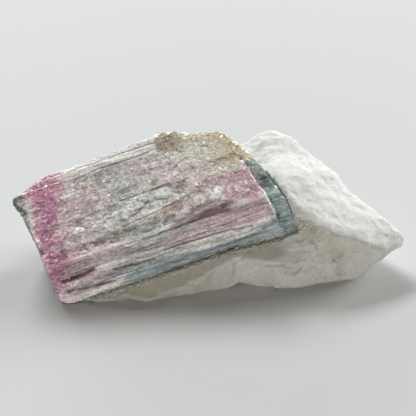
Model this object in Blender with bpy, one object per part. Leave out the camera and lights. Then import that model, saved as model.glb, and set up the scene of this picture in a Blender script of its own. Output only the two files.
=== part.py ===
"""A watermelon tourmaline crystal lying in a broken block of white albite, with a crust of mica.

The crystal is modelled in its own frame: X runs along its c axis from the green end to the blue end,
Y runs up the broken face, and Z stands out of that face. It is a rounded three-sided prism whose front
has split away in long strips, so its broken face is a flight of ledges parallel to the c axis.
The albite is one block with a socket that the crystal lies in, and a flat foot that it rests on.
Lengths are in metres, +Z is up, and the origin is under the middle of the whole specimen.
"""

import math

import bmesh
import bpy
from mathutils import Matrix, Vector, noise

MM = 0.001

# The crystal: its length, and how it lies.
CRYSTAL_LENGTH = 62.0 * MM
FRONT_CORNER = Vector((-37.0, -22.5, 0.15)) * MM
FACE_LEAN = math.radians(42)  # the broken face's normal, above the horizon
AXIS_RISE = math.radians(19)  # the c axis, above the face's level line

# The broken face, as strips from its lower edge up: (lower edge, level at the green end, level at the blue end).
STRIPS = (
    (-1.0, -1.6, -4.6),
    (1.2, -1.0, -3.4),
    (2.6, -0.8, -2.8),
    (4.6, -0.6, -2.3),
    (9.9, 0.0, 0.8),
    (19.4, 0.4, -0.4),
    (28.8, 0.0, -0.8),
    (30.6, -0.9, -1.6),
)
TOP_LINE = 32.6 * MM
RISER = 0.4 * MM  # how far a ledge's riser leans
STRIP_STEP = 1.8 * MM  # widest spacing of the lines along a strip

# Its outline, in millimetres: Y of the top and bottom edges along X, and X of the two ends up Y.
TOP_EDGE = ((0, 29.1), (4.5, 30.8), (7, 31.4), (18, 31.7), (27, 32.3), (36, 32.6), (43, 32.2), (50, 31.1), (56, 29.9),
            (62, 28.0))
BOTTOM_EDGE = ((0, 1.3), (1.2, 0.1), (4, -0.3), (8, -0.1), (16, -0.1), (28, -0.1), (37, 0.3), (47, 0.0), (57, -0.7), (62, -0.9))
GREEN_END = ((0, 3.0), (1.5, 2.3), (3.5, 2.2), (6, 1.8), (11, 1.5), (15, 1.6), (18, 1.1), (22, 0.5), (25, 0.1),
             (27, -0.1), (28, -0.4), (29, 0.9), (33, 1.4))
BLUE_END = ((-2, 62.0), (6, 62.1), (10, 61.2), (13.7, 59.8), (18.4, 58.8), (20, 57.9), (22.5, 56.4), (25.2, 54.8),
            (26.7, 53.9), (28, 52.6), (33, 49.6))
GREEN_END_REACH = 10 * MM  # the ends' slants fade out over these lengths
BLUE_END_REACH = 28 * MM

# What is lower than the strips: the recess under the mica, and the blue rind's ledge.
RECESS_START = 37.0 * MM  # at the top edge
RECESS_SLANT = 0.45  # its wall leans towards the blue end going down
RECESS_FLOOR = 19.4 * MM
RECESS_TOP = 30 * MM
RECESS_LEVEL = -3.0 * MM
RIND_LEDGE = 3.8 * MM
RIND_LEVEL = -3.9 * MM

# Gaps where splinters have come out of the face: (start, end, width, depth), all in millimetres.
SPLINTER_GAPS = (
    ((4.6, 5.6), (12.6, 6.3), 1.4, 1.5),
    ((36.0, 9.7), (50.5, 9.8), 1.3, 2.6),
    ((3.7, 15.0), (5.4, 12.0), 1.0, 1.2),
)

# The rounded back of the prism, as corners of its section, (Y, Z) from the lower edge round to the top edge.
BACK_CORNERS = ((5.2, -5.5), (10.6, -10.8), (15.4, -13.2), (20.6, -13.4), (26.0, -10.6), (30.2, -6.2))
KEEL_DEPTH = 1.8 * MM  # how much deeper the lower corners are at the blue end
BACK_LINES = 24
BACK_FLUTE = 0.25 * MM
FLUTE_PITCH = 1.7 * MM
STATION_STEP = 2.2 * MM
GREEN_CAP = (0.0, 0.8, 1.9, 3.5)  # stations close to the green end
FACE_ROUGHNESS = 0.3 * MM
ROUGH_PATCH = 2.4 * MM

# The albite: overlapping lumps of broken rock, each the hull of its corners.
LUMPS = {
    "right lobe": (
        (8.9, 22, 22.0), (13.0, 24.3, 23.9), (17.3, 24.3, 23.7), (20.2, 22.3, 22.9), (25.0, 20.3, 20.9),
        (28.9, 17, 18.8), (31.2, 14, 18.0), (35, 10, 15.5), (21.3, -9.7, 12.9), (26, -8.6, 14.3), (29.5, -8.1, 13.7),
        (32, -8, 11.6), (18.5, 1, 19.6), (6.3, -12.3, 1.3), (7.4, -12.3, 9.4), (13.7, -13.9, 1.5), (20.2, -14.8, 1.6),
        (25.6, -13.2, 1.6), (29.3, -12.6, 1.6), (32.5, -10.9, 1.4), (16, -13.8, 6.5), (24, -12.8, 7.5),
        (14, -10, -3), (30, -8, -3), (35, 2, -3), (33, 15, -3), (16, 22, -3), (36, 6, 1.5), (34, 17, 1.5),
        (20, 25, 1.5), (8, 18, -3),
    ),
    "back": (
        (-8, 22, 18.3), (-20, 19, 14.6), (-28, 14, 10.8), (-31.5, 5, 7.8), (-31, -6, 5), (10, 22, 22.0), (12, 10, 21),
        (-32.5, 6, 1.5), (-24, 19.5, 1.5), (-6, 24.5, 1.5), (14, 25, 1.5), (-28, 4, -3), (-20, 16, -3), (0, 21, -3),
        (12, 20, -3), (-27, -10, -3), (7, -10, -3), (-31.5, -12, 2.5), (6.5, -11.2, 9.8),
    ),
    "left lobe": (
        (-18.4, -20.4, 1.2), (-14.2, -22.6, 1.4), (-11, -21.0, 1.3), (-9, -18.8, 1.3), (-5.5, -17.2, 1.4),
        (-2.8, -17.4, 1.5), (2, -15.4, 1.4), (6.6, -13.2, 1.2), (-19, -18.6, 3.9), (-14, -18.8, 5.0), (-8, -17.2, 7.0),
        (-2.9, -15.4, 8.6), (7.0, -12.0, 10.2), (-19, -8, 7), (4, -4, 12), (-16, -16, -3), (4, -10, -3),
    ),
    "left tongue": (
        (-32.4, -21.4, 0.9), (-28, -20.4, 1.2), (-22, -19.3, 1.2), (-16, -18.6, 1.2), (-32, -19, 3), (-24, -18.9, 3.9),
        (-16, -17.6, 5.6), (-31, -8, 5), (-16, -6, 8), (-29, -15, -3), (-16, -14, -3),
    ),
    "right tip": (
        (30, -8.1, 13.0), (34.4, -8.2, 10.2), (37.2, -8.2, 9.2), (41.1, -8.7, 8.5), (44.0, -8.0, 7.9), (47.7, -2, 8.9),
        (47.9, -3.2, 7.7), (47.4, -4.4, 7.1), (45.2, 0, 10.0), (42.0, 4, 11.4), (38.5, 7, 13.1), (34.6, 10, 15.5),
        (37, -9.2, 1.4), (39.5, -9.0, 3.6), (42.7, -8.8, 6.2), (30, -10, -3), (35, -4, -3), (37.5, 2, -3),
        (40, 5, 2.5), (32, 10, -3), (44.5, -2, 4.8),
    ),
}
BREAK_VOXEL = 0.9 * MM
ALBITE_SHARE = 0.24  # how much of the fine facets is kept
LUMP_SIZE = 8.0 * MM
LUMP_HEIGHT = 0.7 * MM
CHIP_SIZE = 3.0 * MM
CHIP_HEIGHT = 0.35 * MM
SOCKET_GAP = 0.35 * MM

# The mica crust in the recess.
CRUST_GAP = 0.35 * MM
CRUST_THICKNESS = 1.7 * MM
CRUST_BUMP = 0.6 * MM
CRUST_SCALE = 2.3 * MM
CRUST_CELLS = (16, 10)


def clear_scene():
    for old in list(bpy.data.objects):
        bpy.data.objects.remove(old)


def crystal_frame():
    """The crystal's frame in the world: X the c axis, Y up the broken face, Z out of it."""
    out = Vector((0, -math.cos(FACE_LEAN), math.sin(FACE_LEAN)))
    upslope = Vector((0, math.sin(FACE_LEAN), math.cos(FACE_LEAN)))
    level = Vector((1, 0, 0))
    along = level * math.cos(AXIS_RISE) + upslope * math.sin(AXIS_RISE)
    up_face = out.cross(along)
    frame = Matrix((along, up_face, out)).transposed().to_4x4()
    frame.translation = FRONT_CORNER
    return frame


def interpolate(table, x):
    """Linear interpolation in a table of pairs given in millimetres; x and the answer are in metres."""
    x_mm = x / MM
    if x_mm <= table[0][0]:
        return table[0][1] * MM
    for (x0, y0), (x1, y1) in zip(table, table[1:]):
        if x_mm <= x1:
            return (y0 + (y1 - y0) * (x_mm - x0) / (x1 - x0)) * MM
    return table[-1][1] * MM


def smooth(edge0, edge1, x):
    share = min(max((x - edge0) / (edge1 - edge0), 0.0), 1.0)
    return share * share * (3 - 2 * share)


def strip_lines():
    """Y of the lines that run along the broken face, with a close pair at each ledge's riser."""
    lines = []
    edges = [strip[0] * MM for strip in STRIPS] + [TOP_LINE + RISER / 2]
    for low, high in zip(edges, edges[1:]):
        start, end = low + RISER / 2, high - RISER / 2
        count = max(1, math.ceil((end - start) / STRIP_STEP))
        lines += [start + (end - start) * k / count for k in range(count + 1)]
    return lines


def stations():
    """Positions along the c axis, closer together at the green end, the recess's wall and the rind's ledge."""
    marks = [x * MM for x in GREEN_CAP]
    marks += [RECESS_START - RISER, RECESS_START + RISER]
    marks += [CRYSTAL_LENGTH - RIND_LEDGE - RISER, CRYSTAL_LENGTH - RIND_LEDGE + RISER, CRYSTAL_LENGTH]
    found = [marks[0]]
    for mark in marks[1:]:
        count = max(1, round((mark - found[-1]) / STATION_STEP))
        start = found[-1]
        found += [start + (mark - start) * k / count for k in range(1, count + 1)]
    return found


def along_axis(station, y):
    """The station's real position at height y: lines follow the slants of the two ends and of the recess's wall."""
    green = interpolate(GREEN_END, y) * (1 - smooth(0, GREEN_END_REACH, station))
    blue = interpolate(BLUE_END, y) - CRYSTAL_LENGTH
    near_wall = 1 - smooth(1 * MM, 12 * MM, abs(station - RECESS_START))
    lean = RECESS_SLANT * min(max(RECESS_TOP - y, 0.0), RECESS_TOP - RECESS_FLOOR)
    near_blue = smooth(CRYSTAL_LENGTH - BLUE_END_REACH, CRYSTAL_LENGTH, station)
    return station + green + blue * near_blue + lean * near_wall


def face_level(station, line):
    """How high the broken face stands at this place."""
    if line > RECESS_FLOOR and station > RECESS_START:
        return RECESS_LEVEL
    if station > CRYSTAL_LENGTH - RIND_LEDGE:
        return RIND_LEVEL
    share = station / CRYSTAL_LENGTH
    level = 0.0
    for low, at_green, at_blue in STRIPS:
        if line >= low * MM:
            level = (at_green + (at_blue - at_green) * share) * MM
    return level


def face_point(station, line):
    """A point of the broken face, with the roughness of the break."""
    top, bottom = interpolate(TOP_EDGE, station), interpolate(BOTTOM_EDGE, station)
    y = min(line, top - (TOP_LINE - line) * 0.2)
    y = max(y, bottom + (line - STRIPS[0][0] * MM) * 0.35)
    level = face_level(station, line)
    spot = Vector((station * 0.35, line, 0)) / ROUGH_PATCH
    rough = noise.noise(spot) * FACE_ROUGHNESS
    return Vector((along_axis(station, y), y, level if level == RECESS_LEVEL else level + rough))


def back_corners(station):
    """The section's corners at this station, from the lower front edge round to the top edge."""
    lines = strip_lines()
    low, high = face_point(station, lines[0]), face_point(station, lines[-1])
    drop = high.y - TOP_LINE
    corners = [(low.y, low.z)]
    keel = KEEL_DEPTH * station / CRYSTAL_LENGTH
    for y, z in BACK_CORNERS:
        share = smooth(15 * MM, 30 * MM, y * MM)
        corners.append((y * MM + drop * share, z * MM - keel * (1 - share)))
    return corners + [(high.y, high.z)]


def rounded(corners, share):
    """A point on a smooth curve through the corners, at a share of the way."""
    spans = len(corners) - 1
    place = min(share * spans, spans - 1e-9)
    k = int(place)
    t = place - k
    before, start = corners[max(k - 1, 0)], corners[k]
    end, after = corners[k + 1], corners[min(k + 2, spans)]
    point = []
    for a, b, c, d in zip(before, start, end, after):
        curve = 2 * b + (c - a) * t + (2 * a - 5 * b + 4 * c - d) * t**2 + (3 * b - a - 3 * c + d) * t**3
        point.append(curve / 2)
    return point


def back_ring(station, outset=0.0):
    """Points of the fluted back at this station, from the top edge round to the lower edge."""
    corners = back_corners(station)
    middle = Vector((0, 15 * MM, -2 * MM))
    points = []
    for k in range(BACK_LINES, 0, -1):
        share = k / (BACK_LINES + 1)
        y, z = rounded(corners, share)
        point = Vector((0, y, z))
        outward = (point - middle).normalized()
        flute = 0.0 if outset else BACK_FLUTE * noise.noise(Vector((station * 8, share * 47 * MM, 0)) / FLUTE_PITCH)
        point += outward * (outset + flute)
        point.x = along_axis(station, y)
        points.append(point)
    return points


def loft(rings, bulge=0.0):
    """A closed mesh through rings of equally many points, each end capped by a fan that bulges by this much."""
    made = bmesh.new()
    loops = [[made.verts.new(point) for point in ring] for ring in rings]
    for first, second in zip(loops, loops[1:]):
        for k in range(len(first)):
            after = (k + 1) % len(first)
            made.faces.new((first[k], first[after], second[after], second[k]))
    ends = [made.faces.new(loops[0]), made.faces.new(loops[-1])]
    middles = bmesh.ops.poke(made, faces=ends)["verts"]
    for middle, side in zip(sorted(middles, key=lambda vert: vert.co.x), (-1, 1)):
        middle.co.x += side * bulge
    bmesh.ops.recalc_face_normals(made, faces=made.faces)
    return made


def finish(made, name, material=None, frame=None):
    """Turns a bmesh into a named object with its material."""
    mesh = bpy.data.meshes.new(name)
    made.to_mesh(mesh)
    made.free()
    piece = bpy.data.objects.new(name, mesh)
    bpy.context.scene.collection.objects.link(piece)
    if frame is not None:
        piece.matrix_world = frame
    if material is not None:
        mesh.materials.append(material)
    return piece


def cut_with(piece, cutter, name):
    """Takes a cutter out of a piece, and keeps the cutter out of sight."""
    cutter.hide_render = True
    cutter.display_type = "WIRE"
    cut = piece.modifiers.new(name, "BOOLEAN")
    cut.object = cutter
    cut.operation = "DIFFERENCE"
    cut.solver = "EXACT"


def plain_material(name, colour, roughness):
    material = bpy.data.materials.new(name)
    material.use_nodes = True
    shader = material.node_tree.nodes["Principled BSDF"]
    shader.inputs["Base Color"].default_value = (*colour, 1)
    shader.inputs["Roughness"].default_value = roughness
    shader.inputs["Metallic"].default_value = 0.0
    material.diffuse_color = (*colour, 1)
    return material


def splinter_gap(start, end, width, depth):
    """A slim wedge lying along the face, from start to end."""
    first, last = Vector((*start, 0)) * MM, Vector((*end, 0)) * MM
    across = (last - first).cross(Vector((0, 0, 1))).normalized() * width * MM / 2
    above = Vector((0, 0, 2.5 * MM))
    below = Vector((0, 0, -depth * MM))
    middle = (first + last) / 2
    near, far = first.lerp(last, 0.25), first.lerp(last, 0.8)
    made = bmesh.new()
    for point in (first + above, last + above, middle + across + above, middle - across + above, near + below, far + below):
        made.verts.new(point)
    bmesh.ops.convex_hull(made, input=made.verts)
    return made


def make_crystal(frame, material):
    lines = strip_lines()
    rings = [[face_point(s, line) for line in lines] + back_ring(s) for s in stations()]
    crystal = finish(loft(rings), "tourmaline_crystal", material, frame)
    for k, gap in enumerate(SPLINTER_GAPS):
        cutter = finish(splinter_gap(*gap), f"gap_cutter_{k}", frame=frame)
        cut_with(crystal, cutter, f"Splinter gap {k}")


def make_socket_cutter(frame):
    """The room that the crystal needs in the block: its back a little larger, and open in front of its face."""
    front = 9 * MM
    flare = 0.3 * front
    places = stations()
    rings = []
    for place in [-4 * MM, *places[1:]]:
        shift = min(place, 0.0) + (SOCKET_GAP if place == places[-1] else 0.0)
        ring = back_ring(max(place, 0.0), SOCKET_GAP + BACK_FLUTE / 2)
        face = [face_point(max(place, 0.0), line) for line in strip_lines()]
        face[0].y -= SOCKET_GAP
        face[-1].y += SOCKET_GAP
        opening = [Vector((spot.x, spot.y - flare * (1 - spot.y / TOP_LINE), front)) for spot in face]
        ring += [face[0], *opening, face[-1]]
        rings.append([point + Vector((shift, 0, 0)) for point in ring])
    return finish(loft(rings, bulge=3 * MM), "socket_cutter", frame=frame)


def settle(piece, modifier, **settings):
    """Applies one modifier to a piece's mesh."""
    made = piece.modifiers.new(modifier.title(), modifier)
    for key, value in settings.items():
        setattr(made, key, value)
    bpy.context.view_layer.update()
    graph = bpy.context.evaluated_depsgraph_get()
    piece.data = bpy.data.meshes.new_from_object(piece.evaluated_get(graph))
    piece.modifiers.clear()


def roughen(mesh):
    """Lumps and chips on the broken rock."""
    normals = [vert.normal.copy() for vert in mesh.vertices]
    for vert, normal in zip(mesh.vertices, normals):
        lump = noise.noise(vert.co / LUMP_SIZE + Vector((3.1, 0.4, 1.7))) * LUMP_HEIGHT
        chip = noise.noise(vert.co / CHIP_SIZE + Vector((7.9, 2.3, 5.5))) * CHIP_HEIGHT
        vert.co += normal * (lump + chip)


def cut_foot(mesh):
    """Cuts the block flat on the level that it rests on."""
    made = bmesh.new()
    made.from_mesh(mesh)
    every = [*made.verts, *made.edges, *made.faces]
    cut = bmesh.ops.bisect_plane(made, geom=every, plane_co=(0, 0, 0), plane_no=(0, 0, 1), clear_inner=True)
    rim = [edge for edge in cut["geom_cut"] if isinstance(edge, bmesh.types.BMEdge)]
    bmesh.ops.contextual_create(made, geom=rim)
    bmesh.ops.dissolve_degenerate(made, dist=0.05 * MM, edges=made.edges)
    bmesh.ops.triangulate(made, faces=[face for face in made.faces if len(face.verts) > 4])
    bmesh.ops.recalc_face_normals(made, faces=made.faces)
    made.to_mesh(mesh)
    made.free()


def keep_largest_body(mesh):
    """Drops the slivers of rock that the socket has cut loose."""
    made = bmesh.new()
    made.from_mesh(mesh)
    waiting, bodies = set(made.verts), []
    while waiting:
        body, edge = set(), {waiting.pop()}
        while edge:
            body |= edge
            edge = {link.other_vert(vert) for vert in edge for link in vert.link_edges} - body
        waiting -= body
        bodies.append(body)
    bodies.sort(key=len)
    for body in bodies[:-1]:
        bmesh.ops.delete(made, geom=list(body), context="VERTS")
    made.to_mesh(mesh)
    made.free()


def make_block(frame, material):
    """The albite: its lumps run together, broken up, cut flat underneath and cut for the crystal."""
    made = bmesh.new()
    for corners in LUMPS.values():
        verts = [made.verts.new(Vector(corner) * MM) for corner in corners]
        hull = bmesh.ops.convex_hull(made, input=verts)
        bmesh.ops.delete(made, geom=hull["geom_interior"], context="VERTS")
    block = finish(made, "albite_matrix", material)
    settle(block, "REMESH", mode="VOXEL", voxel_size=BREAK_VOXEL)
    roughen(block.data)
    settle(block, "DECIMATE", ratio=ALBITE_SHARE)
    cut_foot(block.data)
    cutter = make_socket_cutter(frame)
    settle(block, "BOOLEAN", object=cutter, operation="DIFFERENCE", solver="EXACT")
    bpy.data.objects.remove(cutter)
    keep_largest_body(block.data)


def make_crust(frame, material):
    """The mica crust: a sheet over the recess's floor, thickened outwards, with a scaly top."""
    cells_x, cells_y = CRUST_CELLS
    margin = 0.5 * MM
    low_y = RECESS_FLOOR + RISER / 2 + CRUST_GAP
    start = RECESS_START + RISER + 2 * margin
    end = CRYSTAL_LENGTH - 2 * margin
    made = bmesh.new()
    bmesh.ops.create_grid(made, x_segments=cells_x, y_segments=cells_y, size=0.5)
    for vert in made.verts:
        station = start + (end - start) * (vert.co.x + 0.5)
        top = interpolate(TOP_EDGE, station) - margin
        y = low_y + (top - low_y) * (vert.co.y + 0.5)
        vert.co = Vector((along_axis(station, y), y, RECESS_LEVEL + CRUST_GAP))
    raised = bmesh.ops.extrude_face_region(made, geom=made.faces[:])
    for vert in raised["geom"]:
        if isinstance(vert, bmesh.types.BMVert):
            vert.co.z += CRUST_THICKNESS + noise.noise(vert.co / CRUST_SCALE) * CRUST_BUMP
    bmesh.ops.recalc_face_normals(made, faces=made.faces)
    finish(made, "mica_crust", material, frame)


def centre_specimen():
    """Moves everything so that the origin is under the middle of the specimen."""
    bpy.context.view_layer.update()
    graph = bpy.context.evaluated_depsgraph_get()
    xs, ys = [], []
    for piece in bpy.data.objects:
        if piece.hide_render:
            continue
        shown = piece.evaluated_get(graph)
        for vert in shown.to_mesh().vertices:
            spot = piece.matrix_world @ vert.co
            xs.append(spot.x)
            ys.append(spot.y)
        shown.to_mesh_clear()
    middle = Vector(((min(xs) + max(xs)) / 2, (min(ys) + max(ys)) / 2, 0))
    print("moved by", tuple(round(-c / MM, 3) for c in middle), "mm")
    for piece in bpy.data.objects:
        piece.matrix_world = Matrix.Translation(-middle) @ piece.matrix_world


def main():
    clear_scene()
    frame = crystal_frame()
    make_crystal(frame, plain_material("tourmaline", (0.46, 0.30, 0.32), 0.3))
    make_block(frame, plain_material("albite", (0.72, 0.72, 0.68), 0.6))
    make_crust(frame, plain_material("mica", (0.55, 0.50, 0.38), 0.25))
    centre_specimen()


main()
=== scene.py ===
import itertools
import math
import random

import bmesh
import bpy
import numpy as np
from mathutils import Matrix, Vector
from mathutils.bvhtree import BVHTree


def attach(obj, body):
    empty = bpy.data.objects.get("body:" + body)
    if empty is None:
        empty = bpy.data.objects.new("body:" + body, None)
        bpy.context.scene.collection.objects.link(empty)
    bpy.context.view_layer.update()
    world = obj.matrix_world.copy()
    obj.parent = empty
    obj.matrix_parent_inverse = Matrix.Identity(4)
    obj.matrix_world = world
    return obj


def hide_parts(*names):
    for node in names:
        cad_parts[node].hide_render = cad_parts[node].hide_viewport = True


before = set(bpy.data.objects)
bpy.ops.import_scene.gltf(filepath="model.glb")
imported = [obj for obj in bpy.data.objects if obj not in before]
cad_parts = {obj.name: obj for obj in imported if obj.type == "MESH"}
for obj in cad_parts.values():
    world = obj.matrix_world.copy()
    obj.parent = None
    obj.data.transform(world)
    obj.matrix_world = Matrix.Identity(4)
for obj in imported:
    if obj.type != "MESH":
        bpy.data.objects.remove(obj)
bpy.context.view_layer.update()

mm = 0.001

# How the prism lies: the corner of its broken face, that face's lean and the rise of its long axis.
crystalPose = {
    "corner": (-37.822, -24.358, 0.15),  # mm
    "faceLean": 42.0,  # degrees
    "axisRise": 19.0,
}


def linear(hexCode):  # "#rrggbb" as it looks on screen, to the light values that a shader mixes
    channels = [int(hexCode[i:i + 2], 16) / 255 for i in (1, 3, 5)]
    return tuple(c / 12.92 if c <= 0.04045 else ((c + 0.055) / 1.055) ** 2.4 for c in channels) + (1.0,)


def crystalAxes():  # columns: along the prism, up its broken face, out of that face
    lean = math.radians(crystalPose["faceLean"])
    rise = math.radians(crystalPose["axisRise"])
    out = Vector((0, -math.cos(lean), math.sin(lean)))
    upSlope = Vector((0, math.sin(lean), math.cos(lean)))
    along = Vector((1, 0, 0)) * math.cos(rise) + upSlope * math.sin(rise)
    return Matrix((along, out.cross(along), out)).transposed()


axes = crystalAxes()
axesArray = np.array(axes)
cornerArray = np.array(crystalPose["corner"])


def toCrystal(points):  # world metres to the prism's own millimetres
    return (points / mm - cornerArray) @ axesArray


def toWorld(points):
    return (points @ axesArray.T + cornerArray) * mm


def cellRandom(cells, seed):  # one number from 0 to 1 for each whole-number cell, the same each time
    x, y, z = (cells[:, i].astype(np.int64) for i in range(3))
    mixed = (x * 73856093) ^ (y * 19349663) ^ (z * 83492791) ^ (seed * 2971215073)
    mixed = ((mixed ^ (mixed >> 15)) * 1274126177) & 0x7FFFFFFF
    mixed = ((mixed ^ (mixed >> 12)) * 362437) & 0x7FFFFFFF
    return ((mixed ^ (mixed >> 9)) & 0xFFFFF) / 0xFFFFF


def softNoise(points, size, seed=0):  # smooth, -1 to 1; size is a feature's size in mm, one number or three
    scaled = points / np.asarray(size, float)
    base = np.floor(scaled)
    part = scaled - base
    part = part * part * (3 - 2 * part)
    total = np.zeros(len(points))
    for corner in itertools.product((0, 1), repeat=3):
        weight = np.ones(len(points))
        for axis, side in enumerate(corner):
            weight *= part[:, axis] if side else 1 - part[:, axis]
        total += weight * cellRandom(base + corner, seed)
    return total * 2 - 1


def layeredNoise(points, size, seed=0, layers=3):  # each layer is half the size and half as strong
    size = np.asarray(size, float)
    total = sum(softNoise(points, size / 2 ** i, seed + i) / 2 ** i for i in range(layers))
    return total / sum(1 / 2 ** i for i in range(layers))


# Broken facets: each one's three random numbers, the way from its middle, and how near its edge is.
def chips(points, size, seed=0):
    size = np.asarray(size, float)
    scaled = points / size
    base = np.floor(scaled)
    nearest = np.full(len(points), 9.0)
    second = nearest.copy()
    dice = np.zeros((len(points), 3))
    offset = np.zeros((len(points), 3))
    for step in itertools.product((-1, 0, 1), repeat=3):
        cell = base + step
        jitter = np.stack([cellRandom(cell, seed + i) for i in range(3)], axis=1)
        away = scaled - cell - jitter
        distance = np.sqrt((away ** 2).sum(axis=1))
        closer = distance < nearest
        second = np.where(closer, nearest, np.minimum(second, distance))
        nearest = np.where(closer, distance, nearest)
        offset[closer] = away[closer]
        dice[closer] = jitter[closer]
    dice = np.mod(dice * 7.13 + dice[:, [1, 2, 0]] * 3.7, 1.0)  # so that it doesn't follow the middle's place
    return dice * 2 - 1, offset * size, second - nearest


def smoothStep(low, high, value):  # low may be the greater
    part = np.clip((value - low) / (high - low), 0, 1)
    return part * part * (3 - 2 * part)


def band(value, low, high, soft):  # 1 between low and high, falling to 0 over soft
    return smoothStep(low - soft, low + soft, value) * (1 - smoothStep(high - soft, high + soft, value))


def curve(table, value):
    return np.interp(value, [row[0] for row in table], [row[1] for row in table])


def nearLine(points, line):  # distance to a run of points
    best = np.full(len(points), 1e3)
    for start, end in zip(line, line[1:]):
        start, end = np.array(start, float), np.array(end, float)
        way = end - start
        part = np.clip(((points - start) @ way) / (way @ way), 0, 1)
        best = np.minimum(best, np.linalg.norm(points - start - part[:, None] * way, axis=1))
    return best


def copyNode(nodeName, pieceName):  # a merged copy of a CAD node
    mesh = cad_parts[nodeName].data.copy()
    shape = bmesh.new()
    shape.from_mesh(mesh)
    bmesh.ops.remove_doubles(shape, verts=shape.verts, dist=0.001 * mm)
    shape.to_mesh(mesh)
    shape.free()
    mesh.materials.clear()
    piece = bpy.data.objects.new(pieceName, mesh)
    bpy.context.scene.collection.objects.link(piece)
    return piece


# An even fine mesh in place of a coarse one. The turn takes it to the frame that its cells are square in.
def remeshPiece(piece, cellSize, turn, smooth=True):
    piece.data.transform(turn)
    remesh = piece.modifiers.new("Fine mesh", "REMESH")
    remesh.mode = "VOXEL"
    remesh.voxel_size = cellSize * mm
    remesh.use_smooth_shade = smooth
    graph = bpy.context.evaluated_depsgraph_get()
    fine = bpy.data.meshes.new_from_object(piece.evaluated_get(graph))
    piece.modifiers.clear()
    piece.data = fine
    fine.transform(turn.inverted())
    fine.update()


def readVectors(mesh, what):  # "co" for the points' places, "normal" for their normals
    values = np.empty(len(mesh.vertices) * 3, np.float32)
    mesh.vertices.foreach_get(what, values)
    return values.reshape(-1, 3).astype(float)


def writePoints(mesh, points):
    mesh.vertices.foreach_set("co", points.astype(np.float32).ravel())
    mesh.update()


def paint(mesh, name, values):  # a value at each point, for the material to read
    layer = mesh.attributes.new(name, "FLOAT", "POINT")
    layer.data.foreach_set("value", np.clip(values, -3, 3).astype(np.float32))


def join(mesh, extra):  # adds a bmesh's shapes to a mesh
    loose = bpy.data.meshes.new("loose")
    extra.to_mesh(loose)
    extra.free()
    shape = bmesh.new()
    shape.from_mesh(mesh)
    shape.from_mesh(loose)
    shape.to_mesh(mesh)
    shape.free()
    bpy.data.meshes.remove(loose)


def treeOf(piece):  # for finding the nearest place on a piece, or the first one on a line
    mesh = piece.data
    corners = [v.co.copy() for v in mesh.vertices]
    return BVHTree.FromPolygons(corners, [tuple(p.vertices) for p in mesh.polygons])


# Draws a surface to its neighbour where they all but touch, and says how near each point was, in mm.
def closeGap(points, tree, reach=1.5, gap=-0.08, cadGap=0.35):
    near = np.full(len(points), reach)
    for i, point in enumerate(points):
        place, normal, _, distance = tree.find_nearest(Vector(point), reach * mm)
        if place is None:
            continue
        way = Vector(point) - place
        near[i] = distance / mm
        side = near[i] if way.dot(normal) >= 0 else -near[i]
        wanted = gap + max(0.0, side - cadGap) * (reach - gap) / (reach - cadGap)
        outward = way.normalized() if side > 0.02 else normal
        if side < wanted or side > cadGap * 0.4:
            points[i] = place + outward * (wanted * mm)
    return near


# Adds a node with its settings, values and links, and gives one of its outputs. Where inputs go by
# number, Map Range has 0 the value, 1 and 2 its own range, 3 and 4 the range that it is put on, and
# Mix has 0 the factor, 6 and 7 the two colours.
def addNode(tree, kind, output, inputs=None, **settings):
    node = tree.nodes.new("ShaderNode" + kind)
    for key, value in settings.items():
        setattr(node, key, value)
    for key, value in (inputs or {}).items():
        if isinstance(value, bpy.types.NodeSocket):
            tree.links.new(value, node.inputs[key])
        else:
            node.inputs[key].default_value = value
    return node.outputs[output]


def newMaterial(name, finish):  # the finish is what is the same all over, on the shader's own sockets
    material = bpy.data.materials.new(name)
    material.use_nodes = True
    tree = material.node_tree
    shader = tree.nodes["Principled BSDF"]
    for socket, value in finish.items():
        shader.inputs[socket].default_value = value
    return material, tree, shader


tourmaline = {
    "cellSize": 0.2,  # mm, across the grooves
    "stretch": 1.7,  # cells are this much longer along the prism
    # Sizes in mm: along the prism, up its broken face and out of it. 50 goes right through.
    "lathSize": (15, 1.7, 50),  # long splinters
    "fineLathSize": (8, 0.62, 50),
    "blockSize": (5.0, 3.4, 50),  # broken facets
    "chipSize": (2.4, 1.9, 50),
    "smallChipSize": (1.1, 0.95, 50),
    "crumbSize": (0.62, 0.5, 50),
    "grooveSize": (60, 1.5, 1.5),
    "fineGrooveSize": (40, 0.6, 0.6),
    "lathHeight": 0.42,  # mm, steps between the long splinters
    "fineLathHeight": 0.16,
    "blockStep": 0.28,
    "chipStep": 0.12,
    "facetSlope": 0.4,  # how steeply a broken facet leans, as rise over run
    "grooveHeight": 0.16,
    "grainHeight": 0.05,
    "crumblyBelt": (10.4, 28.0),  # mm up the face
    "calmBelt": (20.4, 28.0),  # a little less crumbly
    "glassyBelt": (10.4, 19.4),
    "glassyStretch": (11, 43),  # mm along the prism
    "topStrip": (29.2, 34),  # pale splinters by the top edge, mm up, where the tone is also raised as painted light
    "topLean": 0.1,  # that strip leans back by this slope
    "capThickness": 0.9,  # mm, the green skin's lump on the broken end
    "capHeight": (26.8, 2.2),  # its middle up the face and its half height
    "bodyColour": "#f3efea",
    # Repeats a millimetre for streaks, crumbs and fine crumbs. Real ones are finer and wouldn't show.
    "streakScale": (0.22, 2.6, 2.6),  # longest along the prism
    "crumbScale": (1.25, 1.7, 1.7),
    "fineScale": (2.3, 2.6, 2.6),
    "finish": {
        "IOR": 1.63,
        "Subsurface Weight": 0.5,
        "Subsurface Radius": (1.0, 0.8, 0.8),
        "Subsurface Scale": 0.0007,
    },
}

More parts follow.
